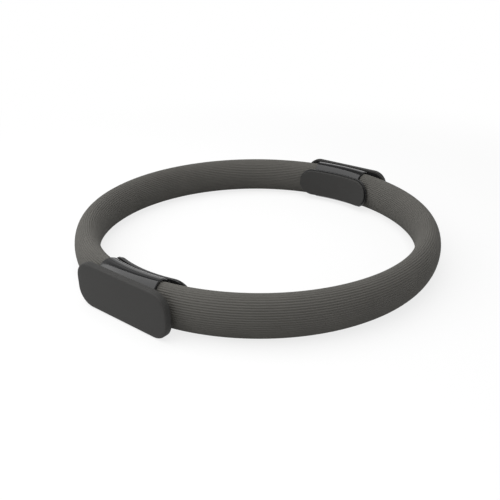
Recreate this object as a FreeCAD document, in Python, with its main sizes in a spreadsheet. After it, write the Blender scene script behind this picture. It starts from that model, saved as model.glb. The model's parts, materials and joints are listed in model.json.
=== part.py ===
"""Pilates ring: a springy hoop in a foam sleeve, with two padded handles.

The ring lies flat, with its centre at the origin, +Z up and the front handle on -Y.
Each piece is drawn with its reference point on +Y and is then turned about Z to its place.
"""
import FreeCAD, Part
import math
import os
import Sketcher

V = FreeCAD.Vector

SIZES = {
    # ring and sleeve
    "ring_radius": 166.0,
    "foam_half_width": 11.8,
    "foam_half_height": 19.05,
    "hoop_thickness": 3.0,
    "hoop_height": 16.0,
    "hoop_clearance": 0.3,
    # bending places, counted in each half of the ring
    "hinge_count": 6,
    "knuckle_margin": 1.6,
    "knuckle_gap": 0.3,
    # collar that the two shells of a handle make together
    "collar_half_angle": 10.7,
    "collar_wider": 3.2,
    "collar_taller": 2.45,
    "crest_flat": 0.3,
    "collar_edge": 1.2,
    "neck_round": 0.35,
    "neck_margin": 1.0,
    "parting_gap": 0.3,
    "tunnel_half_width": 8.6,
    "tunnel_half_height": 17.4,
    "mouth_depth": 3.2,
    "foam_clearance": 0.3,
    # outer pad and the plate behind it
    "pad_length": 104.2,
    "pad_height": 40.6,
    "pad_corner": 15.5,
    "pad_thickness": 6.0,
    "pad_edge": 1.5,
    "plate_thickness": 2.5,
    "plate_inset": 2.2,
    "plate_tuck": 2.5,
    "plate_lip": 0.2,
    "plate_clearance": 0.15,
    # inner pad and the curved flange behind it
    "grip_tighter": 46.0,
    "grip_length": 86.8,
    "grip_height": 29.6,
    "grip_corner": 14.2,
    "grip_thickness": 2.5,
    "grip_edge": 1.0,
    "grip_gap": 0.1,
    "flange_thickness": 2.0,
    "flange_rim": 1.3,
    "flange_sunk": 3.6,
    "flange_edge": 0.5,
    # screws that hold the shells together
    "screw_spacing_across": 40.0,
    "screw_spacing_up": 21.2,
    "screw_diameter": 2.8,
    "screw_length": 17.0,
    "screw_clearance": 0.15,
    "head_diameter": 4.6,
    "head_height": 1.8,
    "head_clearance": 0.2,
    "head_depth": 0.3,
    "boss_diameter": 4.6,
    # pins that hold the hoop in the shells
    "pin_spacing": 20.0,
    "pin_diameter": 4.0,
    "pin_length": 14.0,
    "pin_clearance": 0.05,
    "pin_boss_diameter": 8.0,
    "pin_end_gap": 0.3,
    "butt_gap": 0.4,
}

CUT_ANGLE = 60.0
TOLERANCE = 1e-4
ANGLE_TOLERANCE = 1e-6
RIM_TOLERANCE = 0.02
EDGE_SAMPLES = 5

doc = FreeCAD.newDocument("pilates_ring")
sheet = doc.addObject("Spreadsheet::Sheet", "Sizes")
for row, (alias, value) in enumerate(SIZES.items(), start=1):
    sheet.set(f"A{row}", alias)
    sheet.set(f"B{row}", str(value))
    sheet.setAlias(f"B{row}", alias)
doc.recompute()

nodes = []


def size(alias):
    """The number that the sheet holds under an alias."""
    return float(getattr(sheet, alias))


def cells(formula):
    """A formula in the sheet's aliases, each written with the sheet's name before it."""
    words = []
    for word in formula.split(" "):
        words.append(f"Sizes.{word}" if word in SIZES else word)
    return " ".join(words)


def worked(formula):
    """The value of a formula now, from the sheet's own engine."""
    return float(sheet.evalExpression(cells(formula)))


SEGMENT_ANGLE = "( ( 180 - 2 * collar_half_angle ) / hinge_count )"
FIRST_HINGE = f"( collar_half_angle + {SEGMENT_ANGLE} / 2 )"
KNUCKLE_RADIUS = "( foam_half_width + knuckle_margin )"
OVERRUN_ANGLE = f"( 2 * {KNUCKLE_RADIUS} / ring_radius * 180 / pi )"
MOUTH_ANGLE = "( mouth_depth / ring_radius * 180 / pi )"
FOAM_START = (f"( collar_half_angle - {MOUTH_ANGLE}"
              " + foam_clearance / ring_radius * 180 / pi )")
BUTT_ANGLE = "( butt_gap / 2 / ring_radius * 180 / pi )"
COLLAR_HALF_WIDTH = "( foam_half_width + collar_wider )"
COLLAR_HALF_HEIGHT = "( foam_half_height + collar_taller )"
CREST = f"( {COLLAR_HALF_HEIGHT} - crest_flat )"
PLATE_HALF_LENGTH = "( pad_length / 2 - plate_inset )"
PLATE_HALF_HEIGHT = "( pad_height / 2 - plate_inset )"
NECK_RISE = f"( ( {PLATE_HALF_HEIGHT} - neck_margin ) / {COLLAR_HALF_HEIGHT} )"
NECK_OFFSET = f"( {COLLAR_HALF_WIDTH} * sqrt( max( 0 ; 1 - {NECK_RISE} ^ 2 ) ) )"
PLATE_BACK = f"( ring_radius + max( foam_half_width - plate_tuck ; {NECK_OFFSET} ) )"
PLATE_CORNER = "( pad_corner - plate_inset )"
PLATE_FRONT = f"( {PLATE_BACK} + plate_thickness )"
PAD_REACH = f"( {PLATE_BACK} + pad_thickness - plate_lip )"
GRIP_CURVE = "( ring_radius - grip_tighter )"
FLANGE_FRONT = f"( {GRIP_CURVE} + grip_thickness + grip_gap )"
FLANGE_BACK = f"( {FLANGE_FRONT} + flange_thickness )"
GRIP_CENTRE = f"( ring_radius - {COLLAR_HALF_WIDTH} + flange_sunk - {FLANGE_BACK} )"
FLANGE_HALF_LENGTH = "( grip_length / 2 + flange_rim )"
FLANGE_HALF_HEIGHT = "( grip_height / 2 + flange_rim )"
SCREW_ACROSS = "( screw_spacing_across / 2 )"
SCREW_UP = "( screw_spacing_up / 2 )"
SCREW_SEAT = (f"( {GRIP_CENTRE} + sqrt( {FLANGE_FRONT} ^ 2 - {SCREW_ACROSS} ^ 2 )"
              " + head_depth + head_height )")
PARTING_AT_SCREW = f"( sqrt( ring_radius ^ 2 - ( {SCREW_ACROSS} + boss_diameter / 2 ) ^ 2 ) )"
TUNNEL_INNER = "( ring_radius - tunnel_half_width )"
PIN_ACROSS = "( pin_spacing / 2 )"
HOOP_INNER_AT_PIN = ("( sqrt( ( ring_radius - hoop_thickness / 2 - hoop_clearance ) ^ 2"
                     f" - ( {PIN_ACROSS} + pin_boss_diameter / 2 ) ^ 2 ) )")
HOOP_OUTER_AT_PIN = "( ring_radius + hoop_thickness / 2 + hoop_clearance )"
PIN_CENTRE = f"( sqrt( ring_radius ^ 2 - {PIN_ACROSS} ^ 2 ) )"


def new_body(label):
    """An empty body."""
    body = doc.addObject("PartDesign::Body", label)
    body.Label = label
    return body


def new_node(label, turn):
    """An empty body for one piece of the object, turned about Z by an angle in degrees."""
    body = new_body(label)
    body.Placement = FreeCAD.Placement(V(), FreeCAD.Rotation(V(0, 0, 1), turn))
    nodes.append(body)
    return body


def origin_feature(body, role):
    """One of the body's own planes or axes."""
    return next(item for item in body.Origin.OriginFeatures if item.Role == role)


def new_sketch(body, role, name, offset=None, about_z=None):
    """A sketch on an origin plane, moved along its normal or turned about the ring's axis."""
    sketch = body.newObject("Sketcher::SketchObject", f"{body.Label}_{name}")
    sketch.AttachmentSupport = (origin_feature(body, role), [""])
    sketch.MapMode = "FlatFace"
    if offset is not None:
        sketch.setExpression("AttachmentOffset.Base.z", cells(offset))
    if about_z is not None:
        axis = V(0, 0, 1) if role == "XY_Plane" else V(0, 1, 0)
        sketch.AttachmentOffset = FreeCAD.Placement(V(), FreeCAD.Rotation(axis, worked(about_z)))
    return sketch


def bind(sketch, constraint, formula):
    """Add a dimension and tie it to a formula in the sheet's aliases."""
    index = sketch.addConstraint(constraint)
    sketch.setExpression(f"Constraints[{index}]", cells(formula))


def pin_point(sketch, geometry, corner, across, up):
    """Hold a point of the sketch at two formulas, measured from the sketch's origin."""
    bind(sketch, Sketcher.Constraint("DistanceX", -1, 1, geometry, corner, worked(across)), across)
    bind(sketch, Sketcher.Constraint("DistanceY", -1, 1, geometry, corner, worked(up)), up)


def polygon(sketch, corners):
    """A closed outline of straight lines through corners that are pairs of formulas."""
    places = [V(worked(across), worked(up), 0) for across, up in corners]
    first = sketch.GeometryCount
    count = len(places)
    for index in range(count):
        sketch.addGeometry(Part.LineSegment(places[index], places[(index + 1) % count]))
    for index, (across, up) in enumerate(corners):
        after = first + (index - 1) % count
        sketch.addConstraint(Sketcher.Constraint("Coincident", after, 2, first + index, 1))
        pin_point(sketch, first + index, 1, across, up)


def rectangle(sketch, left, right, low, high):
    """A closed outline with four square corners."""
    polygon(sketch, [(left, low), (right, low), (right, high), (left, high)])


def circle(sketch, across, up, radius):
    """A circle whose centre and radius are formulas."""
    centre = V(worked(across), worked(up), 0)
    index = sketch.addGeometry(Part.Circle(centre, V(0, 0, 1), worked(radius)))
    pin_point(sketch, index, 3, across, up)
    bind(sketch, Sketcher.Constraint("Radius", index, worked(radius)), radius)


def ellipse(sketch, across, half_width, half_height):
    """An upright ellipse centred on the sketch's horizontal axis."""
    centre = V(worked(across), 0, 0)
    top = centre + V(0, worked(half_height), 0)
    side = centre + V(worked(half_width), 0, 0)
    index = sketch.addGeometry(Part.Ellipse(top, side, centre))
    sketch.exposeInternalGeometry(index)
    pin_point(sketch, index, 3, across, "0")
    sketch.addConstraint(Sketcher.Constraint("Vertical", index + 1))
    for axis, half in ((index + 1, half_height), (index + 2, half_width)):
        whole = f"2 * {half}"
        bind(sketch, Sketcher.Constraint("Distance", axis, worked(whole)), whole)


def rounded_outline(sketch, half_length, half_height, corner):
    """A rectangle with round corners, centred on the sketch's origin."""
    length, height, radius = worked(half_length), worked(half_height), worked(corner)
    quarters = [(1, 1), (-1, 1), (-1, -1), (1, -1)]
    lines, arcs = [], []
    for index, (across, up) in enumerate(quarters):
        centre = V(across * (length - radius), up * (height - radius), 0)
        round_corner = Part.Circle(centre, V(0, 0, 1), radius)
        start = index * math.pi / 2
        arcs.append(sketch.addGeometry(Part.ArcOfCircle(round_corner, start, start + math.pi / 2)))
    after = arcs[1:] + arcs[:1]
    for arc, next_arc in zip(arcs, after):
        line = Part.LineSegment(sketch.getPoint(arc, 2), sketch.getPoint(next_arc, 1))
        lines.append(sketch.addGeometry(line))
    for index, (across, up) in enumerate(quarters):
        sketch.addConstraint(Sketcher.Constraint("Tangent", arcs[index], 2, lines[index], 1))
        sketch.addConstraint(Sketcher.Constraint("Tangent", lines[index], 2, after[index], 1))
        pin_point(sketch, arcs[index], 3,
                  f"{across} * ( {half_length} - {corner} )", f"{up} * ( {half_height} - {corner} )")
    bind(sketch, Sketcher.Constraint("Radius", arcs[0], radius), corner)


def curved_strip(sketch, inner_radius, outer_radius, half_length):
    """A strip bent round the grip's centre of curvature, with ends cut square across."""
    centre = V(0, worked(GRIP_CENTRE), 0)
    half = worked(half_length)
    arcs = []
    for radius in (inner_radius, outer_radius):
        lean = math.asin(half / worked(radius))
        arcs.append(sketch.addGeometry(Part.ArcOfCircle(
            Part.Circle(centre, V(0, 0, 1), worked(radius)), math.pi / 2 - lean, math.pi / 2 + lean)))
    for corner in (1, 2):
        square_end = Part.LineSegment(sketch.getPoint(arcs[0], corner), sketch.getPoint(arcs[1], corner))
        sketch.addGeometry(square_end)
        sketch.addConstraint(Sketcher.Constraint("Coincident", arcs[1] + corner, 1, arcs[0], corner))
        sketch.addConstraint(Sketcher.Constraint("Coincident", arcs[1] + corner, 2, arcs[1], corner))
    for arc, radius in zip(arcs, (inner_radius, outer_radius)):
        pin_point(sketch, arc, 3, "0", GRIP_CENTRE)
        bind(sketch, Sketcher.Constraint("Radius", arc, worked(radius)), radius)
        for corner, sign in ((1, 1), (2, -1)):
            across = f"{sign} * {half_length}"
            bind(sketch, Sketcher.Constraint("DistanceX", -1, 1, arc, corner, worked(across)), across)


def extrude(body, kind, sketch, length=None, both_ways=False, flip=False):
    """A pad or pocket of the sketch; with no length it goes right through."""
    feature = body.newObject(f"PartDesign::{kind}", f"{sketch.Name}_{kind.lower()}")
    feature.Profile = sketch
    feature.SideType = "Symmetric" if both_ways else "One side"
    feature.Reversed = flip
    if length is None:
        feature.Type = "ThroughAll"
    else:
        feature.setExpression("Length", cells(length))
    return feature


def revolve(body, kind, sketch, angle, both_ways=False, flip=False):
    """A revolution or groove of the sketch about the ring's axis."""
    feature = body.newObject(f"PartDesign::{kind}", f"{sketch.Name}_{kind.lower()}")
    feature.Profile = sketch
    feature.ReferenceAxis = (origin_feature(body, "Z_Axis"), [""])
    feature.Midplane = both_ways
    feature.Reversed = flip
    feature.setExpression("Angle", cells(angle))
    return feature


def cut_hinge_socket(body, angle):
    """Hollow out the end of an arc piece round the hinge at an angle from +Y."""
    sketch = new_sketch(body, "XY_Plane", "socket", about_z=angle)
    circle(sketch, "0", "ring_radius", f"{KNUCKLE_RADIUS} + knuckle_gap")
    extrude(body, "Pocket", sketch, both_ways=True)


def round_hinge_knuckle(body, angle):
    """Round the end of an arc piece about the hinge at an angle from +Y."""
    sketch = new_sketch(body, "XY_Plane", "knuckle", about_z=angle)
    reach = f"3 * {KNUCKLE_RADIUS}"
    corners = [("0", f"ring_radius - {reach}"), (f"- {reach}", f"ring_radius - {reach}"),
               (f"- {reach}", f"ring_radius + {reach}"), ("0", f"ring_radius + {reach}")]
    places = [V(worked(across), worked(up), 0) for across, up in corners]
    radius = worked(KNUCKLE_RADIUS)
    centre = V(0, worked("ring_radius"), 0)
    below, above = centre - V(0, radius, 0), centre + V(0, radius, 0)
    path = [below] + places + [above]
    for start, end in zip(path, path[1:]):
        sketch.addGeometry(Part.LineSegment(start, end))
    last = len(path) - 2
    round_end = Part.Circle(centre, V(0, 0, 1), radius)
    arc = sketch.addGeometry(Part.ArcOfCircle(round_end, math.pi / 2, 3 * math.pi / 2))
    for index in range(last):
        sketch.addConstraint(Sketcher.Constraint("Coincident", index, 2, index + 1, 1))
        pin_point(sketch, index, 2, *corners[index])
    sketch.addConstraint(Sketcher.Constraint("Coincident", last, 2, arc, 1))
    sketch.addConstraint(Sketcher.Constraint("Coincident", 0, 1, arc, 2))
    pin_point(sketch, arc, 3, "0", "ring_radius")
    pin_point(sketch, arc, 1, "0", f"ring_radius + {KNUCKLE_RADIUS}")
    bind(sketch, Sketcher.Constraint("DistanceX", -1, 1, arc, 2, 0), "0")
    extrude(body, "Pocket", sketch, both_ways=True)


def arc_piece(label, turn, section, start, end, socket=None, knuckle=None):
    """A stretch of the hoop or sleeve between two angles from +Y, with its hinge ends."""
    body = new_node(label, turn)
    profile = new_sketch(body, "YZ_Plane", "section", about_z=start)
    section(profile)
    overrun = f" + {OVERRUN_ANGLE}" if knuckle else ""
    revolve(body, "Revolution", profile, f"{end} - {start}{overrun}")
    if socket:
        cut_hinge_socket(body, socket)
    if knuckle:
        round_hinge_knuckle(body, knuckle)
    return body


def foam_section(sketch):
    """Oval section of the sleeve with the slot that the hoop lies in."""
    ellipse(sketch, "ring_radius", "foam_half_width", "foam_half_height")
    half_slot = "( hoop_thickness / 2 + hoop_clearance )"
    half_rise = "( hoop_height / 2 + hoop_clearance )"
    rectangle(sketch, f"ring_radius - {half_slot}", f"ring_radius + {half_slot}",
              f"- {half_rise}", half_rise)


def hoop_section(sketch):
    """Flat band, standing on edge."""
    rectangle(sketch, "ring_radius - hoop_thickness / 2", "ring_radius + hoop_thickness / 2",
              "- hoop_height / 2", "hoop_height / 2")


def drill_hoop(body, sides):
    """Pin holes through the hoop, on the given sides of +Y."""
    sketch = new_sketch(body, "XZ_Plane", "pin_holes")
    for side in sides:
        circle(sketch, f"{side} * {PIN_ACROSS}", "0", "pin_diameter / 2 + pin_clearance")
    extrude(body, "Pocket", sketch)


def build_sleeve_and_hoop():
    """The sleeve and the hoop, in stretches that meet at the hinges."""
    hinge_count = int(size("hinge_count"))
    step = worked(SEGMENT_ANGLE)
    first = worked(FIRST_HINGE)
    for index in range(1, hinge_count):
        right_turn = first + (index - 1) * step - 180
        left_turn = -180 - (first + index * step)
        for side, turn in (("left", left_turn), ("right", right_turn)):
            for name, section in (("foam", foam_section), ("hoop", hoop_section)):
                arc_piece(f"{name}_{side}_{index}", turn, section, "0", SEGMENT_ANGLE,
                          socket="0", knuckle=SEGMENT_ANGLE)
    back = f"- {FIRST_HINGE}"
    for handle, turn in (("front", 180), ("rear", 0)):
        knuckle_side, socket_side = ("right", "left") if handle == "front" else ("left", "right")
        arc_piece(f"foam_{handle}_{knuckle_side}", turn, foam_section, FOAM_START, FIRST_HINGE,
                  knuckle=FIRST_HINGE)
        arc_piece(f"foam_{handle}_{socket_side}", turn, foam_section, back, f"( - {FOAM_START} )",
                  socket=back)
    front = arc_piece("hoop_front", 180, hoop_section, back, FIRST_HINGE,
                      socket=back, knuckle=FIRST_HINGE)
    drill_hoop(front, (-1, 1))
    rear_left = arc_piece("hoop_rear_left", 0, hoop_section, BUTT_ANGLE, FIRST_HINGE,
                          knuckle=FIRST_HINGE)
    drill_hoop(rear_left, (-1,))
    rear_right = arc_piece("hoop_rear_right", 0, hoop_section, back, f"( - {BUTT_ANGLE} )",
                           socket=back)
    drill_hoop(rear_right, (1,))


def add_collar(body, outer_half):
    """Add half of the oval collar, cut back at the parting face and flat along its crests."""
    solid = new_sketch(body, "YZ_Plane", "collar")
    ellipse(solid, "ring_radius", COLLAR_HALF_WIDTH, COLLAR_HALF_HEIGHT)
    revolve(body, "Revolution", solid, "2 * collar_half_angle", both_ways=True)
    sign = "+" if outer_half else "-"
    parting = f"ring_radius {sign} parting_gap / 2"
    far = f"ring_radius {sign} 2 * {COLLAR_HALF_WIDTH}"
    waste = f"ring_radius {'-' if outer_half else '+'} 2 * {COLLAR_HALF_WIDTH}"
    top = f"2 * {COLLAR_HALF_HEIGHT}"
    trim = new_sketch(body, "YZ_Plane", "parting")
    polygon(trim, [(waste, f"- {top}"), (far, f"- {top}"), (far, f"- {CREST}"), (parting, f"- {CREST}"),
                   (parting, CREST), (far, CREST), (far, top), (waste, top)])
    revolve(body, "Groove", trim, str(CUT_ANGLE), both_ways=True)


def hollow_collar(body):
    """The tunnel for the hoop, and the mouths that take the ends of the sleeve."""
    tunnel = new_sketch(body, "YZ_Plane", "tunnel")
    ellipse(tunnel, "ring_radius", "tunnel_half_width", "tunnel_half_height")
    revolve(body, "Groove", tunnel, str(CUT_ANGLE), both_ways=True)
    start = f"( collar_half_angle - {MOUTH_ANGLE} )"
    for name, angle, flip in (("left_mouth", start, False), ("right_mouth", f"- {start}", True)):
        mouth = new_sketch(body, "YZ_Plane", name, about_z=angle)
        ellipse(mouth, "ring_radius", "( foam_half_width + foam_clearance )",
                "( foam_half_height + foam_clearance )")
        revolve(body, "Groove", mouth, f"2 * {MOUTH_ANGLE}", flip=flip)


def screw_places():
    """Screw centres as pairs of formulas, across the handle and up."""
    return [(f"{side} * {SCREW_ACROSS}", f"{rise} * {SCREW_UP}") for side in (-1, 1) for rise in (-1, 1)]


def pin_places():
    """Pin centres, in the same form."""
    return [(f"{side} * {PIN_ACROSS}", "0") for side in (-1, 1)]


def round_features(body, kind, name, places, radius, near, far):
    """Round bosses or holes along Y, from the nearer to the farther distance from the ring's axis."""
    sketch = new_sketch(body, "XZ_Plane", name, offset=f"- {far}")
    for across, up in places:
        circle(sketch, across, up, radius)
    extrude(body, kind, sketch, f"{far} - {near}", flip=(kind == "Pocket"))


def edges_where(shape, wanted):
    """Names of the edges for which a test holds."""
    return [f"Edge{index}" for index, edge in enumerate(shape.Edges, start=1) if wanted(edge)]


def fillet(body, name, wanted, radius):
    """Round the edges that pass a test."""
    doc.recompute()
    base = body.Tip
    names = edges_where(base.Shape, wanted)
    if not names:
        raise RuntimeError(f"{body.Label}: no edge to round for {name}")
    feature = body.newObject("PartDesign::Fillet", f"{body.Label}_{name}")
    feature.Base = (base, names)
    feature.setExpression("Radius", cells(radius))


def from_grip_axis(point):
    """Distance of a point from the upright axis that the flange and the inner pad bend round."""
    return math.hypot(point.x, point.y - worked(GRIP_CENTRE))


def round_collar_ends(body):
    """Round the outer edges of the collar's two ends."""
    angle = math.radians(size("collar_half_angle"))

    def at_end(point):
        return abs(math.atan2(abs(point.x), point.y) - angle) < ANGLE_TOLERANCE

    def outer(point):
        across = (math.hypot(point.x, point.y) - size("ring_radius")) / worked(COLLAR_HALF_WIDTH)
        up = point.z / worked(COLLAR_HALF_HEIGHT)
        return abs(math.hypot(across, up) - 1) < RIM_TOLERANCE

    def wanted(edge):
        return all(at_end(point) and outer(point) for point in edge.discretize(EDGE_SAMPLES))

    fillet(body, "end_edges", wanted, "collar_edge")


def round_neck(body, on_back, top):
    """Fill the two long corners where the collar meets the back of its plate or flange."""
    shortest = size("ring_radius") * math.radians(size("collar_half_angle"))

    def wanted(edge):
        if edge.Length < shortest:
            return False
        points = edge.discretize(EDGE_SAMPLES)
        return all(on_back(point) and abs(point.z) < top - TOLERANCE for point in points)

    fillet(body, "neck", wanted, "neck_round")


def build_outer_shell(handle, turn):
    """Outer half of the collar with the plate behind the outer pad."""
    body = new_node(f"{handle}_outer_shell", turn)
    add_collar(body, outer_half=True)
    round_collar_ends(body)
    plate = new_sketch(body, "XZ_Plane", "plate", offset=f"- {PLATE_FRONT}")
    rounded_outline(plate, PLATE_HALF_LENGTH, PLATE_HALF_HEIGHT, PLATE_CORNER)
    extrude(body, "Pad", plate, "plate_thickness")
    front = new_sketch(body, "XZ_Plane", "plate_front", offset=f"- {PLATE_FRONT}")
    rectangle(front, "- pad_length", "pad_length", "- pad_height", "pad_height")
    extrude(body, "Pocket", front, COLLAR_HALF_WIDTH)
    plate_back = worked(PLATE_BACK)
    round_neck(body, lambda point: abs(point.y - plate_back) < TOLERANCE, worked(PLATE_HALF_HEIGHT))
    hollow_collar(body)
    round_features(body, "Pad", "screw_bosses", screw_places(), "boss_diameter / 2",
                   "( ring_radius + parting_gap / 2 )", PLATE_FRONT)
    round_features(body, "Pad", "pin_bosses", pin_places(), "pin_boss_diameter / 2",
                   HOOP_OUTER_AT_PIN, PLATE_FRONT)
    round_features(body, "Pocket", "screw_holes", screw_places(), "screw_diameter / 2 + screw_clearance",
                   TUNNEL_INNER, f"( {SCREW_SEAT} + screw_length + screw_clearance )")
    round_features(body, "Pocket", "pin_holes", pin_places(), "pin_diameter / 2 + pin_clearance",
                   TUNNEL_INNER, f"( {PIN_CENTRE} + pin_length / 2 + pin_end_gap )")


def flange_blank(handle):
    """The curved flange on its own, with its rim rounded on both faces."""
    body = new_body(f"{handle}_flange_blank")
    strip = new_sketch(body, "XY_Plane", "strip")
    curved_strip(strip, FLANGE_FRONT, FLANGE_BACK, FLANGE_HALF_LENGTH)
    extrude(body, "Pad", strip, f"2 * {FLANGE_HALF_HEIGHT}", both_ways=True)
    trim_to_outline(body, FLANGE_HALF_LENGTH, FLANGE_HALF_HEIGHT, "( grip_corner + flange_rim )")
    faces = (worked(FLANGE_FRONT), worked(FLANGE_BACK))

    def rim_edge(edge):
        return any(all(abs(from_grip_axis(vertex.Point) - face) < TOLERANCE for vertex in edge.Vertexes)
                   for face in faces)

    fillet(body, "rim", rim_edge, "flange_edge")
    return body


def build_inner_shell(handle, turn):
    """Inner half of the collar with the curved flange behind the inner pad."""
    body = new_node(f"{handle}_inner_shell", turn)
    add_collar(body, outer_half=False)
    round_collar_ends(body)
    front = new_sketch(body, "XY_Plane", "flange_front")
    circle(front, "0", GRIP_CENTRE, FLANGE_FRONT)
    extrude(body, "Pocket", front, both_ways=True)
    join = body.newObject("PartDesign::Boolean", f"{handle}_flange_join")
    join.Type = "Fuse"
    join.addObject(flange_blank(handle))
    flange_back = worked(FLANGE_BACK)
    round_neck(body, lambda point: abs(from_grip_axis(point) - flange_back) < TOLERANCE,
               worked(f"{FLANGE_HALF_HEIGHT} - flange_edge"))
    hollow_collar(body)
    round_features(body, "Pad", "screw_bosses", screw_places(), "boss_diameter / 2",
                   SCREW_SEAT, f"( {PARTING_AT_SCREW} - parting_gap )")
    round_features(body, "Pad", "pin_bosses", pin_places(), "pin_boss_diameter / 2",
                   f"( {GRIP_CENTRE} + {FLANGE_BACK} )", HOOP_INNER_AT_PIN)
    round_features(body, "Pocket", "screw_holes", screw_places(), "screw_diameter / 2 + screw_clearance",
                   GRIP_CENTRE, "ring_radius")
    round_features(body, "Pocket", "head_seats", screw_places(), "head_diameter / 2 + head_clearance",
                   GRIP_CENTRE, SCREW_SEAT)
    round_features(body, "Pocket", "pin_holes", pin_places(), "pin_diameter / 2 + pin_clearance",
                   f"( {PIN_CENTRE} - pin_length / 2 - pin_end_gap )", "ring_radius")


def trim_to_outline(body, half_length, half_height, corner):
    """Cut a bent strip to a rounded outline, seen from the ring's centre."""
    sketch = new_sketch(body, "XZ_Plane", "outline")
    rectangle(sketch, f"- 2 * {half_length}", f"2 * {half_length}",
              f"- 2 * {half_height}", f"2 * {half_height}")
    rounded_outline(sketch, half_length, half_height, corner)
    extrude(body, "Pocket", sketch)


def build_outer_pad(handle, turn):
    """Flat soft pad with round corners, whose rim covers the plate's edge."""
    body = new_node(f"{handle}_outer_pad", turn)
    block = new_sketch(body, "XZ_Plane", "block", offset=f"- {PAD_REACH}")
    rounded_outline(block, "( pad_length / 2 )", "( pad_height / 2 )", "pad_corner")
    extrude(body, "Pad", block, "pad_thickness")
    seat = new_sketch(body, "XZ_Plane", "seat", offset=f"- {PLATE_FRONT}")
    rounded_outline(seat, f"( {PLATE_HALF_LENGTH} + plate_clearance )",
                    f"( {PLATE_HALF_HEIGHT} + plate_clearance )", f"( {PLATE_CORNER} + plate_clearance )")
    extrude(body, "Pocket", seat, "pad_thickness", flip=True)
    reach = worked(PAD_REACH)

    def face_edge(edge):
        return all(abs(vertex.Point.y - reach) < TOLERANCE for vertex in edge.Vertexes)

    fillet(body, "edge", face_edge, "pad_edge")


def build_inner_pad(handle, turn):
    """Thin soft pad, bent to the flange."""
    body = new_node(f"{handle}_inner_pad", turn)
    strip = new_sketch(body, "XY_Plane", "strip")
    curved_strip(strip, GRIP_CURVE, f"( {GRIP_CURVE} + grip_thickness )", "( grip_length / 2 )")
    extrude(body, "Pad", strip, "grip_height", both_ways=True)
    trim_to_outline(body, "( grip_length / 2 )", "( grip_height / 2 )", "grip_corner")
    face = worked(GRIP_CURVE)

    def face_edge(edge):
        return all(abs(from_grip_axis(vertex.Point) - face) < TOLERANCE for vertex in edge.Vertexes)

    fillet(body, "edge", face_edge, "grip_edge")


def build_screws(handle, turn):
    """Four pan head screws that point outwards from the flange."""
    screws = doc.addObject("Part::MultiFuse", f"{handle}_shell_screws")
    screws.Label = f"{handle}_shell_screws"
    pieces = []
    for across, up in screw_places():
        for name, radius, length in (("shank", "screw_diameter / 2", "screw_length"),
                                     ("head", "head_diameter / 2", "head_height")):
            rod = doc.addObject("Part::Cylinder", f"{handle}_screw_{name}")
            rod.setExpression("Radius", cells(radius))
            rod.setExpression("Height", cells(length))
            start = worked(SCREW_SEAT) - (worked("head_height") if name == "head" else 0)
            rod.Placement = FreeCAD.Placement(V(worked(across), start, worked(up)),
                                              FreeCAD.Rotation(V(1, 0, 0), -90))
            pieces.append(rod)
    screws.Shapes = pieces
    screws.Placement = FreeCAD.Placement(V(), FreeCAD.Rotation(V(0, 0, 1), turn))
    nodes.append(screws)


def build_pins(handle, turn):
    """Two plain pins through the hoop."""
    pins = doc.addObject("Part::Compound", f"{handle}_hoop_pins")
    pins.Label = f"{handle}_hoop_pins"
    rods = []
    for across, up in pin_places():
        rod = doc.addObject("Part::Cylinder", f"{handle}_pin")
        rod.setExpression("Radius", cells("pin_diameter / 2"))
        rod.setExpression("Height", cells("pin_length"))
        start = worked(f"{PIN_CENTRE} - pin_length / 2")
        rod.Placement = FreeCAD.Placement(V(worked(across), start, worked(up)),
                                          FreeCAD.Rotation(V(1, 0, 0), -90))
        rods.append(rod)
    pins.Links = rods
    pins.Placement = FreeCAD.Placement(V(), FreeCAD.Rotation(V(0, 0, 1), turn))
    nodes.append(pins)


def check_and_write():
    """Stop on any failed object, then write each piece to its own file."""
    doc.recompute()
    for item in doc.Objects:
        if "Invalid" in item.State or "Error" in item.State:
            raise RuntimeError(f"{item.Label} failed: {item.State}")
    for node in nodes:
        if node.Shape.isNull() or not node.Shape.isValid() or not node.Shape.Solids:
            raise RuntimeError(f"{node.Label} has no valid solid")
    os.makedirs("parts", exist_ok=True)
    for node in nodes:
        node.Shape.exportStep(f"parts/{node.Label}.step")
        box = node.Shape.BoundBox
        print(f"{node.Label}: {len(node.Shape.Solids)} solids, {node.Shape.Volume:.1f} mm3,"
              f" z {box.ZMin:.2f} to {box.ZMax:.2f}")


build_sleeve_and_hoop()
for handle, turn in (("front", 180), ("rear", 0)):
    build_outer_shell(handle, turn)
    build_inner_shell(handle, turn)
    build_outer_pad(handle, turn)
    build_inner_pad(handle, turn)
    build_screws(handle, turn)
    build_pins(handle, turn)
check_and_write()
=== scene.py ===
"""Looks of a pilates ring: ribbed foam sleeve, gloss handle shells, soft pads, hoop, pins and screws."""
import json
import math

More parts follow.
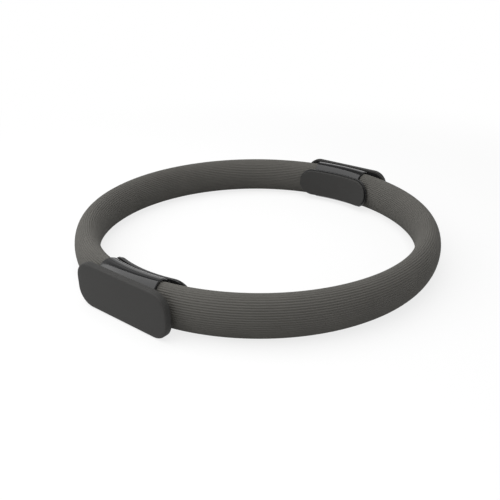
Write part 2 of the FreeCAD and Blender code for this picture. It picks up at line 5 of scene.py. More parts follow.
import bmesh
import bpy
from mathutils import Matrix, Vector


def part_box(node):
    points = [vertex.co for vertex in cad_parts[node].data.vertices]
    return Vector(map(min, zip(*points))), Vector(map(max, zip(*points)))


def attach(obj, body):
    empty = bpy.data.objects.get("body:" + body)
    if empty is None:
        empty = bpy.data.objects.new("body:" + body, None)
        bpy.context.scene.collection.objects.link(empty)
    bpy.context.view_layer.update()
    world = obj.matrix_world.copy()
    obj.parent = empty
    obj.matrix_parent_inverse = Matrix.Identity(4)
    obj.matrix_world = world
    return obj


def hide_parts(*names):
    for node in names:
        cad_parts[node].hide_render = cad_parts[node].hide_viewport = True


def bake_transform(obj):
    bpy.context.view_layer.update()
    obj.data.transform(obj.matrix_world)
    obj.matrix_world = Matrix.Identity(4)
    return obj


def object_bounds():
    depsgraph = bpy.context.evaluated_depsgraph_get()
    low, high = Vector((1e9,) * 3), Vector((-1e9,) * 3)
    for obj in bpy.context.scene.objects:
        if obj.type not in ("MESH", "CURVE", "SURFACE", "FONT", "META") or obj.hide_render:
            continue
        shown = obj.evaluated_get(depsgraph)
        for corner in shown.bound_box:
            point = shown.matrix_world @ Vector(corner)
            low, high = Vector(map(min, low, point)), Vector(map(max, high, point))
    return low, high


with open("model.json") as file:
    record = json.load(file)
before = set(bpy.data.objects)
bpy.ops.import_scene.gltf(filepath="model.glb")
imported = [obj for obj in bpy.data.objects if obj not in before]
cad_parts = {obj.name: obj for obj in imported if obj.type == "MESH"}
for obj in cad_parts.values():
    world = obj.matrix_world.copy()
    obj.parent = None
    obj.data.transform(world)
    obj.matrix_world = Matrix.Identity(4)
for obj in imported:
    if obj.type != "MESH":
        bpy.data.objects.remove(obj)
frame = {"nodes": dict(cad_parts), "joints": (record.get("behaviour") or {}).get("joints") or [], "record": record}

bl_info = {
    "name": "Pilates ring",
    "version": (1, 0, 0),
    "blender": (4, 5, 0),
    "location": "3D View > Sidebar > Pilates ring",
    "description": "Dresses the frame of a pilates ring with its sleeve, shells, pads and stage",
    "category": "Object",
}

MM = 0.001
CAD_BOX = [list(corner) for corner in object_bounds()]
HANDLES = ("front", "rear")
SIDES = ("left", "right")


def hinge_angle(joint):
    """Angle of a hinge round the ring, from the front handle, the same on both sides."""
    return math.atan2(abs(joint["pos_m"][0]), -joint["pos_m"][1])


HINGES = {joint["name"]: joint for joint in frame["joints"]}
FIRST_HINGE = HINGES["bend_left_1"]
RING_RADIUS = math.hypot(*FIRST_HINGE["pos_m"][:2])
HINGE_STEP = hinge_angle(HINGES["bend_left_2"]) - hinge_angle(FIRST_HINGE)
SLEEVE_LOW, SLEEVE_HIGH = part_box("foam_left_3")
PALM_LOW, PALM_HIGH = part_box("rear_outer_pad")
GRIP_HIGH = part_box("rear_inner_pad")[1]
BAND_LOW, BAND_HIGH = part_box("hoop_left_3")


def length(name, description, default):
    """A size in metres that a user may change."""
    return bpy.props.FloatProperty(name=name, description=description, default=default, min=0.0,
                                   precision=5, unit="LENGTH")


def colour(name, description, default):
    """A surface colour that a user may change."""
    return bpy.props.FloatVectorProperty(name=name, description=description, default=default, size=3,
                                         min=0.0, max=1.0, subtype="COLOR")


class SleeveSettings(bpy.types.PropertyGroup):
    """Sizes of the foam sleeve."""

    half_width: length("Half width", "Half of the tube's width", -SLEEVE_LOW.x - RING_RADIUS)
    half_height: length("Half height", "Half of the tube's height", SLEEVE_HIGH.z)
    rib_depth: length("Rib depth", "Depth of the grooves between the ribs", 0.45 * MM)
    ribs: bpy.props.IntProperty(name="Ribs", description="Ribs round the tube", default=48, min=12)
    tuck: length("Tuck", "How far the sleeve goes into a handle's collar", 2.9 * MM)
    slot_room: length("Slot room", "Room on each side of the band in the foam", 1.6 * MM)
    colour: colour("Foam", "Colour of the foam", (0.094, 0.0905, 0.082))


class PadSettings(bpy.types.PropertyGroup):
    """Sizes of the soft pads."""

    palm_corner: length("Palm corner", "Corner radius of the outer pads", 15.5 * MM)
    palm_thickness: length("Palm thickness", "Thickness of the outer pads", PALM_HIGH.y - PALM_LOW.y)
    palm_edge: length("Palm edge", "Rounding of the outer pads' faces", 1.5 * MM)
    palm_seat: length("Palm seat", "Depth of the pocket that the plate lies in", 2.68 * MM)
    palm_rim: length("Palm rim", "Width of the rim round the plate", 2.05 * MM)
    grip_corner: length("Grip corner", "Corner radius of the inner pads", 14.2 * MM)
    grip_thickness: length("Grip thickness", "Thickness of the inner pads", 2.5 * MM)
    grip_edge: length("Grip edge", "Rounding of the inner pads' faces", 1.0 * MM)
    grip_curve: length("Grip curve", "Radius that the inner pads bend to", 120.0 * MM)
    crown: length("Crown", "Rise of a pad's face in the middle", 0.25 * MM)
    colour: colour("Pad", "Colour of the pads", (0.0345, 0.0337, 0.0322))


class HandleSettings(bpy.types.PropertyGroup):
    """Finish of the shells and of what they hold."""

    crease: bpy.props.FloatProperty(name="Crease", description="Edges sharper than this stay sharp",
                                    default=math.radians(32), subtype="ANGLE")
    collar_half_width: length("Collar half width", "Half of the collar's width", 15.0 * MM)
    collar_half_height: length("Collar half height", "Half of the collar's height, without its flat crest",
                               21.5 * MM)
    shell: colour("Shell", "Colour of the gloss shells", (0.014, 0.014, 0.0145))
    band: colour("Band", "Colour of the glass fibre band", (0.34, 0.36, 0.33))
    steel: colour("Steel", "Colour of the screws and pins", (0.62, 0.62, 0.63))


class StageSettings(bpy.types.PropertyGroup):
    """Place of the camera and of the lamp."""

    azimuth: bpy.props.FloatProperty(name="Azimuth", description="Camera's place round the ring",
                                     default=math.radians(37.2), subtype="ANGLE")
    elevation: bpy.props.FloatProperty(name="Elevation", description="Camera's height over the floor",
                                       default=math.radians(23.865), subtype="ANGLE")
    distance: length("Distance", "From the camera to the ring's centre", 604.3 * MM)
    aim_left: length("Aim left", "How far left of the ring's centre the camera looks", 7.2 * MM)
    aim_down: length("Aim down", "How far under the ring's centre the camera looks", 22.7 * MM)
    lens: bpy.props.FloatProperty(name="Lens", description="Focal length in millimetres", default=43.15)
    softbox_width: length("Softbox width", "Side of the lamp overhead, across the picture", 2.6)
    softbox_depth: length("Softbox depth", "Side of the lamp overhead, away from the camera", 1.55)
    softbox_left: length("Softbox left", "How far left of the ring the lamp hangs", 1.0)
    softbox_near: length("Softbox near", "How far the lamp hangs on the camera's side", 0.22)
    softbox_height: length("Softbox height", "Height of the lamp over the floor", 1.0)
    softbox_glow: bpy.props.FloatProperty(name="Softbox glow", description="Brightness of the lamp's face",
                                          default=2.25, min=0.0)


GROUPS = {
    "sleeve": SleeveSettings,
    "pads": PadSettings,
    "handle": HandleSettings,
    "stage": StageSettings,
}


def settings(group):
    """One group of the scene's settings."""
    return getattr(bpy.context.scene, f"pilates_{group}")


MIX_FACTOR, MIX_LOW, MIX_HIGH = 0, 6, 7
MIX_COLOUR = 2
GRAIN_ROUGHNESS = 0.55


class Wire:
    """A socket's value, on which Python's operators add Math nodes."""

    def __init__(self, graph, socket):
        self.graph = graph
        self.socket = socket

    def __add__(self, other):
        return self.graph.math("ADD", self, other)

    def __sub__(self, other):
        return self.graph.math("SUBTRACT", self, other)

    def __rsub__(self, other):
        return self.graph.math("SUBTRACT", other, self)

    def __mul__(self, other):
        return self.graph.math("MULTIPLY", self, other)

    def __abs__(self):
        return self.graph.math("ABSOLUTE", self)

    __radd__ = __add__
    __rmul__ = __mul__


class Graph:
    """A node tree that is being built."""

    def __init__(self, tree):
        self.tree = tree

    def node(self, kind, choices=None, sockets=None, output=0):
        """Add a node with its settings, then its sockets' values or links; gives one output."""
        made = self.tree.nodes.new(kind)
        for name, value in (choices or {}).items():
            if name == "stops":
                self.set_stops(made.color_ramp, value)
            else:
                setattr(made, name, value)
        for name, value in (sockets or {}).items():
            if isinstance(value, Wire):
                self.tree.links.new(value.socket, made.inputs[name])
            else:
                made.inputs[name].default_value = value
        return Wire(self, made.outputs[output]) if made.outputs else made

    def set_stops(self, ramp, stops):
        """Give a ramp its grey stops as pairs of place and level."""
        while len(ramp.elements) < len(stops):
            ramp.elements.new(1.0)
        for element, (place, level) in zip(ramp.elements, stops):
            element.position = place
            element.color = (level, level, level, 1.0)

    def math(self, operation, *values):
        """A Math node on wires and numbers."""
        return self.node("ShaderNodeMath", {"operation": operation}, dict(enumerate(values)))

    def vector(self, operation, *values):
        """A Vector Math node on wires and vectors."""
        return self.node("ShaderNodeVectorMath", {"operation": operation}, dict(enumerate(values)))

    def blend_colours(self, factor, low, high):
        """A colour between two, by a factor."""
        ends = {MIX_FACTOR: factor, MIX_LOW: (*low, 1.0), MIX_HIGH: (*high, 1.0)}
        return self.node("ShaderNodeMix", {"data_type": "RGBA"}, ends, output=MIX_COLOUR)

    def grain(self, scale, detail=2.0, stretch=(1.0, 1.0, 1.0)):
        """Noise on the piece's own coordinates, with grains of about one over the scale in metres."""
        place = self.node("ShaderNodeTexCoord", output="Object")
        stretched = self.node("ShaderNodeMapping", None, {"Vector": place, "Scale": stretch})
        return self.node("ShaderNodeTexNoise", None, {"Vector": stretched, "Scale": scale, "Detail": detail,
                                                      "Roughness": GRAIN_ROUGHNESS})


def shade(base, factor):
    """A colour made lighter or darker."""
    return tuple(min(1.0, part * factor) for part in base)


def new_surface(name):
    """An empty material and its graph."""
    surface = bpy.data.materials.new(name)
    surface.use_nodes = True
    surface.node_tree.nodes.clear()
    return surface, Graph(surface.node_tree)


def close_surface(graph, sockets):
    """Finish a material with one Principled shader."""
    shader = graph.node("ShaderNodeBsdfPrincipled", None, sockets)
    graph.node("ShaderNodeOutputMaterial", None, {"Surface": shader})


FOAM_PORES = 2400.0
FOAM_TONES = 38.0
PAD_CELLS = 1500.0
PAD_TONES = 55.0
SHELL_HANDLING = 70.0
SHELL_PEEL = 420.0
FIBRES_ALONG = (40.0, 40.0, 5200.0)
MARKS_ACROSS = (120.0, 4800.0, 120.0)


def foam_surface(base):
    """Matte closed-cell foam with fine pores and a slightly uneven tone."""
    surface, graph = new_surface("ribbed_foam")
    pores = graph.grain(FOAM_PORES, detail=3.0)
    tone = graph.grain(FOAM_TONES)
    bump = graph.node("ShaderNodeBump", None, {"Strength": 0.4, "Distance": 0.12 * MM, "Height": pores})
    close_surface(graph, {
        "Base Color": graph.blend_colours(tone * 0.6 + pores * 0.4, shade(base, 0.82), shade(base, 1.18)),
        "Roughness": 0.74 + 0.16 * pores,
        "Specular IOR Level": 0.32,
        "Normal": bump,
    })
    return surface


def pad_surface(base):
    """Soft moulded rubber with a fine leathery grain."""
    surface, graph = new_surface("soft_pad")
    place = graph.node("ShaderNodeTexCoord", output="Object")
    cells = graph.node("ShaderNodeTexVoronoi", {"feature": "SMOOTH_F1"},
                       {"Vector": place, "Scale": PAD_CELLS, "Smoothness": 0.7})
    tone = graph.grain(PAD_TONES, detail=3.0)
    bump = graph.node("ShaderNodeBump", None, {"Strength": 0.3, "Distance": 0.1 * MM, "Height": cells})
    close_surface(graph, {
        "Base Color": graph.blend_colours(tone * 0.7 + cells * 0.3, shade(base, 0.88), shade(base, 1.1)),
        "Roughness": 0.56 + 0.12 * cells + 0.06 * tone,
        "Specular IOR Level": 0.3,
        "Normal": bump,
    })
    return surface


def shell_surface(base):
    """Gloss moulded plastic, a little duller where it has been handled."""
    surface, graph = new_surface("gloss_shell")
    handled = graph.grain(SHELL_HANDLING, detail=4.0)
    orange_peel = graph.grain(SHELL_PEEL, detail=1.0)
    bump = graph.node("ShaderNodeBump", None,
                      {"Strength": 0.05, "Distance": 0.05 * MM, "Height": orange_peel})
    close_surface(graph, {
        "Base Color": graph.blend_colours(handled, shade(base, 0.8), shade(base, 1.3)),
        "Roughness": 0.05 + 0.08 * handled,
        "Specular IOR Level": 0.42,
        "Normal": bump,
    })
    return surface


def band_surface(base):
    """Drawn glass fibre, with fibres that run along the band."""
    surface, graph = new_surface("glass_fibre_band")
    fibres = graph.grain(1.0, detail=4.0, stretch=FIBRES_ALONG)
    bump = graph.node("ShaderNodeBump", None, {"Strength": 0.35, "Distance": 0.05 * MM, "Height": fibres})
    close_surface(graph, {
        "Base Color": graph.blend_colours(fibres, shade(base, 0.72), shade(base, 1.25)),
        "Roughness": 0.36 + 0.22 * fibres,
        "Normal": bump,
    })
    return surface


def steel_surface(base):
    """Plain steel with fine turning marks across its length."""
    surface, graph = new_surface("turned_steel")
    marks = graph.grain(1.0, detail=3.0, stretch=MARKS_ACROSS)
    bump = graph.node("ShaderNodeBump", None, {"Strength": 0.2, "Distance": 0.03 * MM, "Height": marks})
    close_surface(graph, {
        "Base Color": graph.blend_colours(marks, shade(base, 0.85), shade(base, 1.1)),
        "Metallic": 1.0,
        "Roughness": 0.24 + 0.16 * marks,
        "Normal": bump,
    })
    return surface


def link_piece(name, mesh, surface=None):
    """A piece at the origin with its place in its mesh."""
    piece = bpy.data.objects.new(name, mesh)
    bpy.context.scene.collection.objects.link(piece)
    if surface:
        mesh.materials.clear()
        mesh.materials.append(surface)
    return piece


RIB_POINTS = 8
STRETCH_RINGS = 30
SMOOTH_OVAL = 256
CAP_ANGLE = math.radians(60)
SLOT_OVERRUN = math.radians(0.5)
SLEEVE_INPUTS = {
    "Ring Radius": "NodeSocketFloat",
    "Half Width": "NodeSocketFloat",
    "Half Height": "NodeSocketFloat",
    "Ribs": "NodeSocketInt",
    "Rib Depth": "NodeSocketFloat",
    "Slot Width": "NodeSocketFloat",
    "Slot Height": "NodeSocketFloat",
    "Start": "NodeSocketFloat",
    "End": "NodeSocketFloat",
}


def sleeve_tree(surface):
    """Node tree of one stretch of sleeve: a ribbed oval tube with the band's slot, bent round the ring."""
    tree = bpy.data.node_groups.new("sleeve_stretch", "GeometryNodeTree")
    for name, kind in SLEEVE_INPUTS.items():
        tree.interface.new_socket(name, in_out="INPUT", socket_type=kind)
    tree.interface.new_socket("Geometry", in_out="OUTPUT", socket_type="NodeSocketGeometry")
    graph = Graph(tree)
    group = tree.nodes.new("NodeGroupInput")
    given = {name: Wire(graph, group.outputs[name]) for name in SLEEVE_INPUTS}

    def swept(section, start, end):
        ends = {name: graph.node("ShaderNodeCombineXYZ", None, {"Y": turn})
                for name, turn in (("Start", start), ("End", end))}
        line = graph.node("GeometryNodeCurvePrimitiveLine", {"mode": "POINTS"}, ends)
        stations = graph.node("GeometryNodeResampleCurve", {"mode": "COUNT"},
                              {"Curve": line, "Count": STRETCH_RINGS})
        return graph.node("GeometryNodeCurveToMesh", None,
                          {"Curve": stations, "Profile Curve": section, "Fill Caps": True})

    halves = graph.node("ShaderNodeCombineXYZ", None,
                        {"X": given["Half Width"], "Y": given["Half Height"], "Z": 1.0})
    circle = graph.node("GeometryNodeCurvePrimitiveCircle", {"mode": "RADIUS"},
                        {"Resolution": SMOOTH_OVAL, "Radius": 1.0})
    oval = graph.node("GeometryNodeTransform", None, {"Geometry": circle, "Scale": halves})
    even = graph.node("GeometryNodeResampleCurve", {"mode": "COUNT"},
                      {"Curve": oval, "Count": given["Ribs"] * RIB_POINTS})
    phase = graph.node("GeometryNodeInputIndex") * (math.pi / RIB_POINTS)
    groove = 1 - abs(graph.math("SINE", phase))
    place = graph.node("GeometryNodeInputPosition")
    slope = graph.vector("DIVIDE", place, graph.vector("MULTIPLY", halves, halves))
    outward = graph.vector("NORMALIZE", slope)
    sunk = graph.node("ShaderNodeVectorMath", {"operation": "SCALE"},
                      {0: outward, "Scale": groove * given["Rib Depth"] * -1.0})
    ribbed = graph.node("GeometryNodeSetPosition", None, {"Geometry": even, "Offset": sunk})
    tube = swept(ribbed, given["Start"], given["End"])
    slot = graph.node("GeometryNodeCurvePrimitiveQuadrilateral", {"mode": "RECTANGLE"},
                      {"Width": given["Slot Width"], "Height": given["Slot Height"]})
    hollow = swept(slot, given["Start"] - SLOT_OVERRUN, given["End"] + SLOT_OVERRUN)
    straight = graph.node("GeometryNodeMeshBoolean", {"operation": "DIFFERENCE", "solver": "EXACT"},
                          {"Mesh 1": tube, "Mesh 2": hollow})
    across, turn, up = (graph.node("ShaderNodeSeparateXYZ", None, {"Vector": place}, output=axis)
                        for axis in "XYZ")
    reach = across + given["Ring Radius"]
    round_ring = graph.node("ShaderNodeCombineXYZ", None, {"X": reach * graph.math("COSINE", turn),
                                                           "Y": reach * graph.math("SINE", turn), "Z": up})
    sleeve = graph.node("GeometryNodeSetPosition", None, {"Geometry": straight, "Position": round_ring})
    smooth = graph.node("GeometryNodeSetShadeSmooth", {"domain": "FACE"},
                        {"Geometry": sleeve, "Shade Smooth": True})
    fold = graph.node("GeometryNodeInputMeshEdgeAngle")
    sharp = graph.node("FunctionNodeCompare", {"data_type": "FLOAT", "operation": "GREATER_THAN"},
                       {0: fold, 1: CAP_ANGLE})
    creased = graph.node("GeometryNodeSetShadeSmooth", {"domain": "EDGE"},
                         {"Geometry": smooth, "Selection": sharp, "Shade Smooth": False})
    whole = graph.node("GeometryNodeRealizeInstances", None, {"Geometry": creased})
    dressed = graph.node("GeometryNodeSetMaterial", None, {"Geometry": whole, "Material": surface})
    graph.node("NodeGroupOutput", None, {"Geometry": dressed})
    return tree


def baked(name, tree, values):
    """A plain piece from a node tree and its inputs' values."""
    piece = link_piece(name, bpy.data.meshes.new(name))
    modifier = piece.modifiers.new("shape", "NODES")
    modifier.node_group = tree
    for item in tree.interface.items_tree:
        if item.name in values:
            modifier[item.identifier] = values[item.name]
    depsgraph = bpy.context.evaluated_depsgraph_get()
    mesh = bpy.data.meshes.new_from_object(piece.evaluated_get(depsgraph), depsgraph=depsgraph)
    piece.modifiers.remove(modifier)
    piece.data = mesh
    mesh.name = name
    if not mesh.polygons:
        raise RuntimeError(f"{name} has no faces")
    return piece


class PILATES_OT_sleeve(bpy.types.Operator):
    """Make the ribbed foam sleeve, one stretch over each bending place"""

    bl_idname = "pilates.sleeve"
    bl_label = "Foam sleeve"

    def execute(self, context):
        sizes = settings("sleeve")
        tree = sleeve_tree(foam_surface(sizes.colour))
        room = 2 * sizes.slot_room
        band_thickness = 2 * (-BAND_LOW.x - RING_RADIUS)
        shared = {
            "Ring Radius": RING_RADIUS,
            "Half Width": sizes.half_width,
            "Half Height": sizes.half_height,
            "Ribs": sizes.ribs,
            "Rib Depth": sizes.rib_depth,
            "Slot Width": band_thickness + room,
            "Slot Height": BAND_HIGH.z - BAND_LOW.z + room,
        }
        for side in SIDES:
            names = sorted(name for name in HINGES if name.startswith(f"bend_{side}"))
            for index, name in enumerate(names, start=1):
                last = index == len(names)
                self.add_stretch(HINGES[name], side, index, last, sizes.tuck / RING_RADIUS, tree, shared)
        return {"FINISHED"}

    def add_stretch(self, joint, side, index, last, tuck, tree, shared):
        """One stretch of sleeve, over the span of one hinge."""
        middle = hinge_angle(joint)
        low, high = middle - HINGE_STEP / 2, middle + HINGE_STEP / 2
        start = low - (tuck if index == 1 else 0.0)
        end = high + (tuck if last else 0.0)
        first, final = (start, end) if side == "right" else (-end, -start)
        piece = baked(f"sleeve_{side}_{index}", tree,
                      {**shared, "Start": first - math.pi / 2, "End": final - math.pi / 2})
        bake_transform(piece)
        covered = [f"foam_front_{side}" if index == 1 else f"foam_{side}_{index - 1}"]
        if last:
            covered.append(f"foam_rear_{side}")
        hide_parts(*covered)


SIDE_STEPS = 3
CORNER_STEPS = 12
LONG_STEPS = 20
EDGE_STEPS = 6
FACE_STEPS = 7
LEAST_CORNER = 0.05 * MM
SPINE_LEFT = 0.2 * MM
PAD_CREASE = math.radians(50)
PALM_BACK_EDGE = 0.3 * MM
GRIP_BACK_EDGE = 0.2 * MM


def outline(half_length, half_height, corner, inset):
    """Points round a rounded rectangle that is pulled in by an inset, from the middle of its right side."""
    across, up = half_length - inset, half_height - inset
    radius = min(max(corner - inset, LEAST_CORNER), up, across)
    quarter = [(across, (up - radius) * step / SIDE_STEPS) for step in range(SIDE_STEPS)]
    for step in range(CORNER_STEPS):
        turn = math.pi / 2 * step / CORNER_STEPS
        quarter.append((across - radius + radius * math.cos(turn), up - radius + radius * math.sin(turn)))
    quarter += [((across - radius) * (1 - step / LONG_STEPS), up) for step in range(LONG_STEPS + 1)]
    back = quarter[::-1]
    return (quarter[:-1] + [(-x, z) for x, z in back][:-1]
            + [(-x, -z) for x, z in quarter][:-1] + [(x, -z) for x, z in back][:-1])


def face_rings(half_height, edge, level, crown):
    """Insets and heights of a pad's face, from its middle line to its rounded edge."""
    reach = half_height - SPINE_LEFT
    rings = []
    for step in range(FACE_STEPS):
        inset = reach + (edge - reach) * step / FACE_STEPS
        rings.append((inset, level + crown * (1 - (1 - inset / half_height) ** 2)))
    return rings


def edge_rings(edge, level, downwards):
    """Insets and heights of a rounded edge, from a face at a level to the side wall."""
    rings = []
    for step in range(EDGE_STEPS + 1):
        turn = math.pi / 2 * step / EDGE_STEPS
        rings.append((edge * (1 - math.sin(turn)), level + downwards * edge * (1 - math.cos(turn))))
    return rings


def lofted_pad(name, half_length, half_height, corner, rings, place):
    """A closed pad through outlines at given insets and heights, each point put in its place."""
    shape = bmesh.new()
    loops = []
    for inset, height in rings:
        points = outline(half_length, half_height, corner, inset)
        loops.append([shape.verts.new(place(x, height, z)) for x, z in points])
    count = len(loops[0])
    for near, far in zip(loops, loops[1:]):
        for index in range(count):
            after = (index + 1) % count
            shape.faces.new((near[index], near[after], far[after], far[index]))
    for loop in (loops[0], loops[-1]):
        for index in range(count // 2):
            quad = [loop[index], loop[index + 1], loop[-index - 1], loop[-index % count]]
            shape.faces.new(list(dict.fromkeys(quad)))
    bmesh.ops.recalc_face_normals(shape, faces=shape.faces)
    mesh = bpy.data.meshes.new(name)
    shape.to_mesh(mesh)
    shape.free()
    mesh.polygons.foreach_set("use_smooth", [True] * len(mesh.polygons))
    mesh.set_sharp_from_angle(angle=PAD_CREASE)
    return mesh


def handle_turn(handle):
    """Sign that puts a point of the rear handle on the given handle."""
    return 1 if handle == "rear" else -1


class PILATES_OT_palm_pads(bpy.types.Operator):
    """Make the flat outer pads, each with the pocket that its plate lies in"""

    bl_idname = "pilates.palm_pads"
    bl_label = "Outer pads"

    def execute(self, context):
        sizes = settings("pads")
        surface = pad_surface(sizes.colour)
        half_length, half_height = PALM_HIGH.x, PALM_HIGH.z
        front, back = PALM_HIGH.y - sizes.crown, PALM_HIGH.y - sizes.palm_thickness
        seat = back + sizes.palm_seat
        rings = face_rings(half_height, sizes.palm_edge, front, sizes.crown)
        rings += edge_rings(sizes.palm_edge, front, -1)
        rings += edge_rings(PALM_BACK_EDGE, back, 1)[::-1]
        rings += [(sizes.palm_rim, back), (sizes.palm_rim, seat)]
        rings += face_rings(half_height, sizes.palm_rim, seat, 0.0)[:0:-1]
        for handle in HANDLES:
            sign = handle_turn(handle)
            mesh = lofted_pad(f"{handle}_palm_pad", half_length, half_height, sizes.palm_corner, rings,
                              lambda x, out, z: (sign * x, sign * out, z))
            piece = link_piece(mesh.name, mesh, surface)
            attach(piece, f"{handle}_handle")
            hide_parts(f"{handle}_outer_pad")
        return {"FINISHED"}


class PILATES_OT_grip_pads(bpy.types.Operator):
    """Make the thin inner pads, bent to their flanges"""

    bl_idname = "pilates.grip_pads"
    bl_label = "Inner pads"

    def execute(self, context):
        sizes = settings("pads")
        surface = bpy.data.materials.get("soft_pad")
        if surface is None:
            raise RuntimeError("make the outer pads first, which bring the pads' surface")
        half_length, half_height = GRIP_HIGH.x, GRIP_HIGH.z
        centre = GRIP_HIGH.y - sizes.grip_thickness - sizes.grip_curve
        rings = face_rings(half_height, sizes.grip_edge, 0.0, -sizes.crown)
        rings += edge_rings(sizes.grip_edge, 0.0, 1)
        rings += edge_rings(GRIP_BACK_EDGE, sizes.grip_thickness, -1)[::-1]
        rings += face_rings(half_height, GRIP_BACK_EDGE, sizes.grip_thickness, 0.0)[:0:-1]
        for handle in HANDLES:
            sign = handle_turn(handle)

            def place(x, depth, z):
                bent = centre + math.sqrt((sizes.grip_curve + depth) ** 2 - x * x)
                return sign * x, sign * bent, z

            mesh = lofted_pad(f"{handle}_grip_pad", half_length, half_height, sizes.grip_corner, rings,
                              place)
            piece = link_piece(mesh.name, mesh, surface)
            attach(piece, f"{handle}_handle")
            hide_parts(f"{handle}_inner_pad")
        return {"FINISHED"}


MERGE = 0.002 * MM
ON_COLLAR = 0.02
FACES_OUT = 0.85


def smooth_copy(node, name, finish):
    """A copy of a frame node's mesh with its corners joined and its curved faces shaded smooth."""
    shape = bmesh.new()
    shape.from_mesh(frame["nodes"][node].data)
    bmesh.ops.remove_doubles(shape, verts=shape.verts, dist=MERGE)
    shape.verts.index_update()
    mesh = bpy.data.meshes.new(name)
    mesh.from_pydata([vert.co for vert in shape.verts], [],
                     [[vert.index for vert in face.verts] for face in shape.faces])
    shape.free()
    mesh.polygons.foreach_set("use_smooth", [True] * len(mesh.polygons))
    mesh.set_sharp_from_angle(angle=finish.crease)
    return mesh


def collar_place(point, finish):
    """How far out a point lies on the collar's oval, 1 at its surface, and the oval's normal there."""
    reach = math.hypot(point.x, point.y)
    across = (reach - RING_RADIUS) / finish.collar_half_width
    up = point.z / finish.collar_half_height
    lean = across / finish.collar_half_width / reach
    normal = Vector((point.x * lean, point.y * lean, up / finish.collar_half_height))
    return math.hypot(across, up), normal.normalized()


def even_collar(mesh, finish):
    """Give the collar's faces the oval's own normals, so that reflections run evenly over them."""
    normals = [Vector()] * len(mesh.loops)
    places = [collar_place(vertex.co, finish) for vertex in mesh.vertices]
    for face in mesh.polygons:
        corners = [places[index] for index in face.vertices]
        if all(abs(out - 1) < ON_COLLAR and normal.dot(face.normal) > FACES_OUT for out, normal in corners):
            for loop, (out, normal) in zip(face.loop_indices, corners):
                normals[loop] = normal
    mesh.normals_split_custom_set(normals)


class PILATES_OT_shells(bpy.types.Operator):
    """Make the gloss shells that clasp the hoop and carry the pads"""

    bl_idname = "pilates.shells"
    bl_label = "Handle shells"

    def execute(self, context):
        finish = settings("handle")
        surface = shell_surface(finish.shell)
        for handle in HANDLES:
            for half in ("outer", "inner"):
                node = f"{handle}_{half}_shell"
                name = f"{handle}_{half}_housing"
                mesh = smooth_copy(node, name, finish)
                even_collar(mesh, finish)
                piece = link_piece(name, mesh, surface)
                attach(piece, f"{handle}_handle")
                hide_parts(node)
        return {"FINISHED"}


class PILATES_OT_band_and_steel(bpy.types.Operator):
    """Finish the hoop's band, the pins and the screws"""

    bl_idname = "pilates.band_and_steel"
    bl_label = "Band, pins and screws"

    def execute(self, context):
        finish = settings("handle")
        surfaces = {"hoop": band_surface(finish.band), "steel": steel_surface(finish.steel)}
        for part in frame["record"]["subparts"]:
            surface = surfaces.get(part["material_slot"])
            if surface:
                node = frame["nodes"][part["node"]]
                node.data.materials.clear()
                node.data.materials.append(surface)
        return {"FINISHED"}


FLOOR_HALF = 20.0
FLOOR_BOUNCE = 0.3
FLOOR_SEEN = 0.9
SHADOW_SHARE = 0.22
SHADOW_NEAR = 0.3
SHADOW_FAR = 0.75
HORIZON_STOPS = ((0.0, 1.0), (0.14, 1.0), (0.26, 0.74), (0.6, 0.6), (0.68, 0.1), (1.0, 0.08))
SENSOR_WIDTH = 36.0
NEAREST_SEEN = 0.01


def floor_surface():
    """White floor that keeps a faint soft shadow round the ring and throws little light back."""
    surface, graph = new_surface("studio_floor")
    path = "ShaderNodeLightPath"
    seen = graph.math("MAXIMUM", graph.node(path, output="Is Camera Ray"),
                      graph.math("MAXIMUM", graph.node(path, output="Is Glossy Ray"),
                                 graph.node(path, output="Is Transmission Ray")))
    place = graph.node("ShaderNodeTexCoord", output="Object")
    away = graph.node("ShaderNodeVectorMath", {"operation": "LENGTH"}, {0: place}, output="Value")
    near = graph.node("ShaderNodeMapRange", {"interpolation_type": "SMOOTHSTEP"},
                      {"Value": away, "From Min": SHADOW_NEAR, "From Max": SHADOW_FAR,
                       "To Min": SHADOW_SHARE, "To Max": 0.0})
    level = FLOOR_BOUNCE + seen * (FLOOR_SEEN - FLOOR_BOUNCE)
    matte = graph.node("ShaderNodeBsdfDiffuse", None,
                       {"Color": graph.node("ShaderNodeCombineColor", None,
                                            {"Red": level, "Green": level, "Blue": level})})
    white = graph.node("ShaderNodeEmission", None, {"Color": (1.0, 1.0, 1.0, 1.0), "Strength": 1.0})
    mixed = graph.node("ShaderNodeMixShader", None, {0: seen * (1 - near), 1: matte, 2: white})
    graph.node("ShaderNodeOutputMaterial", None, {"Surface": mixed})
    return surface


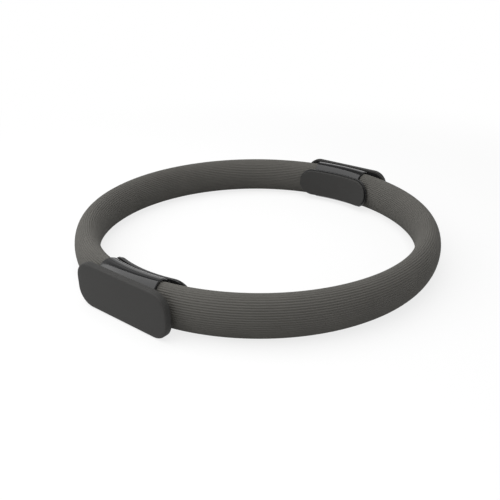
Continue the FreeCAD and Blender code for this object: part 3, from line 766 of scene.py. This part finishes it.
class PILATES_OT_stage(bpy.types.Operator):
    """Make the floor, the lamp, the sky and the camera"""

    bl_idname = "pilates.stage"
    bl_label = "Stage"

    def execute(self, context):
        stage = settings("stage")
        scene = context.scene
        floor_level = CAD_BOX[0][2]
        self.add_floor(floor_level)
        self.add_sky(scene)
        toward = Vector((math.sin(stage.azimuth) * math.cos(stage.elevation),
                         -math.cos(stage.azimuth) * math.cos(stage.elevation), math.sin(stage.elevation)))
        self.add_softbox(stage, floor_level)
        self.add_camera(scene, stage, toward)
        scene.view_settings.view_transform = "Standard"
        return {"FINISHED"}

    def add_floor(self, level):
        """Wide plain floor under the ring."""
        corners = [(-1, -1), (1, -1), (1, 1), (-1, 1)]
        mesh = bpy.data.meshes.new("studio_floor")
        mesh.from_pydata([(x * FLOOR_HALF, y * FLOOR_HALF, level) for x, y in corners], [], [(0, 1, 2, 3)])
        link_piece("studio_floor", mesh, floor_surface())

    def add_sky(self, scene):
        """Room light: white at the horizon, dim overhead where the lamp hangs."""
        sky = bpy.data.worlds.new("studio_room")
        scene.world = sky
        sky.use_nodes = True
        sky.node_tree.nodes.clear()
        graph = Graph(sky.node_tree)
        direction = graph.node("ShaderNodeTexCoord", output="Generated")
        rise = graph.node("ShaderNodeSeparateXYZ", None, {"Vector": direction}, output="Z")
        tone = graph.node("ShaderNodeValToRGB", {"stops": HORIZON_STOPS}, {"Fac": rise})
        glow = graph.node("ShaderNodeBackground", None, {"Color": tone, "Strength": 1.0})
        graph.node("ShaderNodeOutputWorld", None, {"Surface": glow})

    def add_softbox(self, stage, floor_level):
        """Large soft lamp overhead, on the left of the picture."""
        lamp = bpy.data.lights.new("softbox", "AREA")
        lamp.shape = "RECTANGLE"
        lamp.size = stage.softbox_width
        lamp.size_y = stage.softbox_depth
        lamp.energy = stage.softbox_glow * math.pi * stage.softbox_width * stage.softbox_depth
        rig = bpy.data.objects.new("softbox", lamp)
        left = Vector((-math.cos(stage.azimuth), -math.sin(stage.azimuth), 0.0))
        near = Vector((math.sin(stage.azimuth), -math.cos(stage.azimuth), 0.0))
        rig.location = stage.softbox_left * left + stage.softbox_near * near
        rig.location.z = floor_level + stage.softbox_height
        rig.rotation_euler = (0.0, 0.0, stage.azimuth)
        rig.visible_camera = False
        bpy.context.scene.collection.objects.link(rig)

    def add_camera(self, scene, stage, toward):
        """Camera at the picture's viewing angle."""
        right = (-toward).cross(Vector((0, 0, 1))).normalized()
        up = right.cross(-toward)
        aim = -stage.aim_left * right - stage.aim_down * up
        view = bpy.data.cameras.new("camera")
        view.sensor_width = SENSOR_WIDTH
        view.lens = stage.lens
        view.clip_start = NEAREST_SEEN
        camera = bpy.data.objects.new("camera", view)
        camera.location = toward * stage.distance
        camera.rotation_euler = (aim - camera.location).to_track_quat("-Z", "Y").to_euler()
        scene.collection.objects.link(camera)
        scene.camera = camera


OPERATORS = (
    PILATES_OT_sleeve,
    PILATES_OT_palm_pads,
    PILATES_OT_grip_pads,
    PILATES_OT_shells,
    PILATES_OT_band_and_steel,
    PILATES_OT_stage,
)


class PILATES_PT_sidebar(bpy.types.Panel):
    """Lists the ring's pieces in the sidebar"""

    bl_idname = "PILATES_PT_sidebar"
    bl_label = "Pilates ring"
    bl_space_type = "VIEW_3D"
    bl_region_type = "UI"
    bl_category = "Pilates ring"

    def draw(self, context):
        for operator in OPERATORS:
            self.layout.operator(operator.bl_idname)


CLASSES = (*GROUPS.values(), *OPERATORS, PILATES_PT_sidebar)


def register():
    for each in CLASSES:
        bpy.utils.register_class(each)
    for group, kind in GROUPS.items():
        setattr(bpy.types.Scene, f"pilates_{group}", bpy.props.PointerProperty(type=kind))


def unregister():
    for group in GROUPS:
        delattr(bpy.types.Scene, f"pilates_{group}")
    for each in reversed(CLASSES):
        bpy.utils.unregister_class(each)


def main():
    """Build every piece and the stage."""
    register()
    bpy.ops.pilates.sleeve()
    bpy.ops.pilates.palm_pads()
    bpy.ops.pilates.grip_pads()
    bpy.ops.pilates.shells()
    bpy.ops.pilates.band_and_steel()
    bpy.ops.pilates.stage()


if __name__ == "__main__":
    main()
